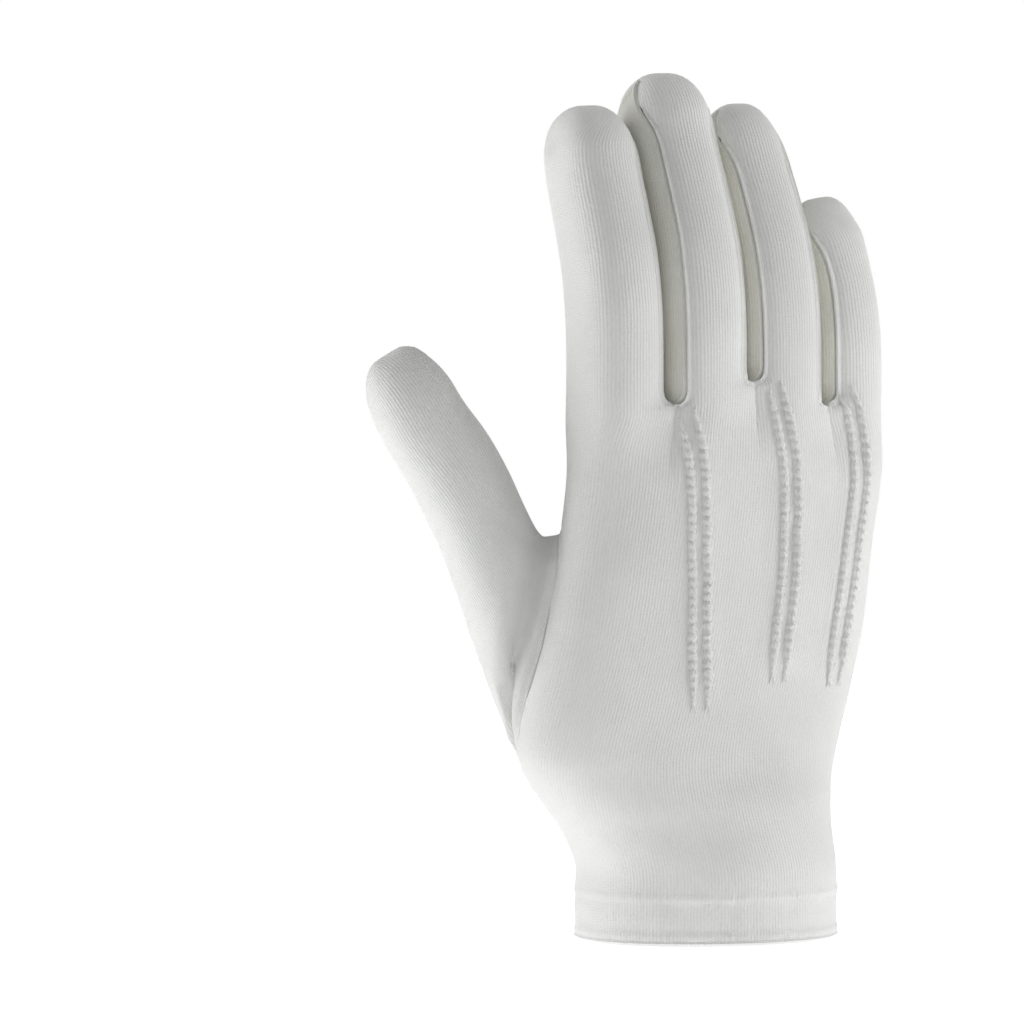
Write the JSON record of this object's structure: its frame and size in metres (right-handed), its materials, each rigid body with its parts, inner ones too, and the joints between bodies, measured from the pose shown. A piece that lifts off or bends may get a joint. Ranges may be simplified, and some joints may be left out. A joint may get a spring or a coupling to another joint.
{
  "type": "white parade glove",
  "caption": "White cotton knit dress glove for a right hand, with raised points on the back and a snap-fastened slit at the wrist.",
  "frame": {"origin": "centre of the cuff's opening, in the plane of the hem's edge, where the wrist goes in", "axes": "+Z from the cuff up to the fingertips, -Y out of the back of the hand, +Y out of the palm, -X to the thumb, +X to the little finger"},
  "size_m": [0.1379, 0.0683, 0.2284],
  "materials": {
    "cotton_knit": "fine ribbed white cotton interlock, matt",
    "fourchette_knit": "fine white cotton interlock, slightly ivory, matt",
    "welt_knit": "rolled cotton knit with stitching, matt",
    "snap": "pale grey enamel, smooth with a soft gloss"
  },
  "bodies": {
    "root": {"trank": "cotton_knit", "fourchette_index_middle": "fourchette_knit", "fourchette_middle_ring": "fourchette_knit", "fourchette_ring_little": "fourchette_knit", "thumb": "cotton_knit", "hem_ply": "cotton_knit", "slit_facing": "cotton_knit", "snap_cap": "snap", "snap_stud": "snap", "back_point_1_left": "welt_knit", "back_point_1_right": "welt_knit", "back_point_2_left": "welt_knit", "back_point_2_right": "welt_knit", "back_point_3_left": "welt_knit", "back_point_3_right": "welt_knit"}
  },
  "joints": []
}
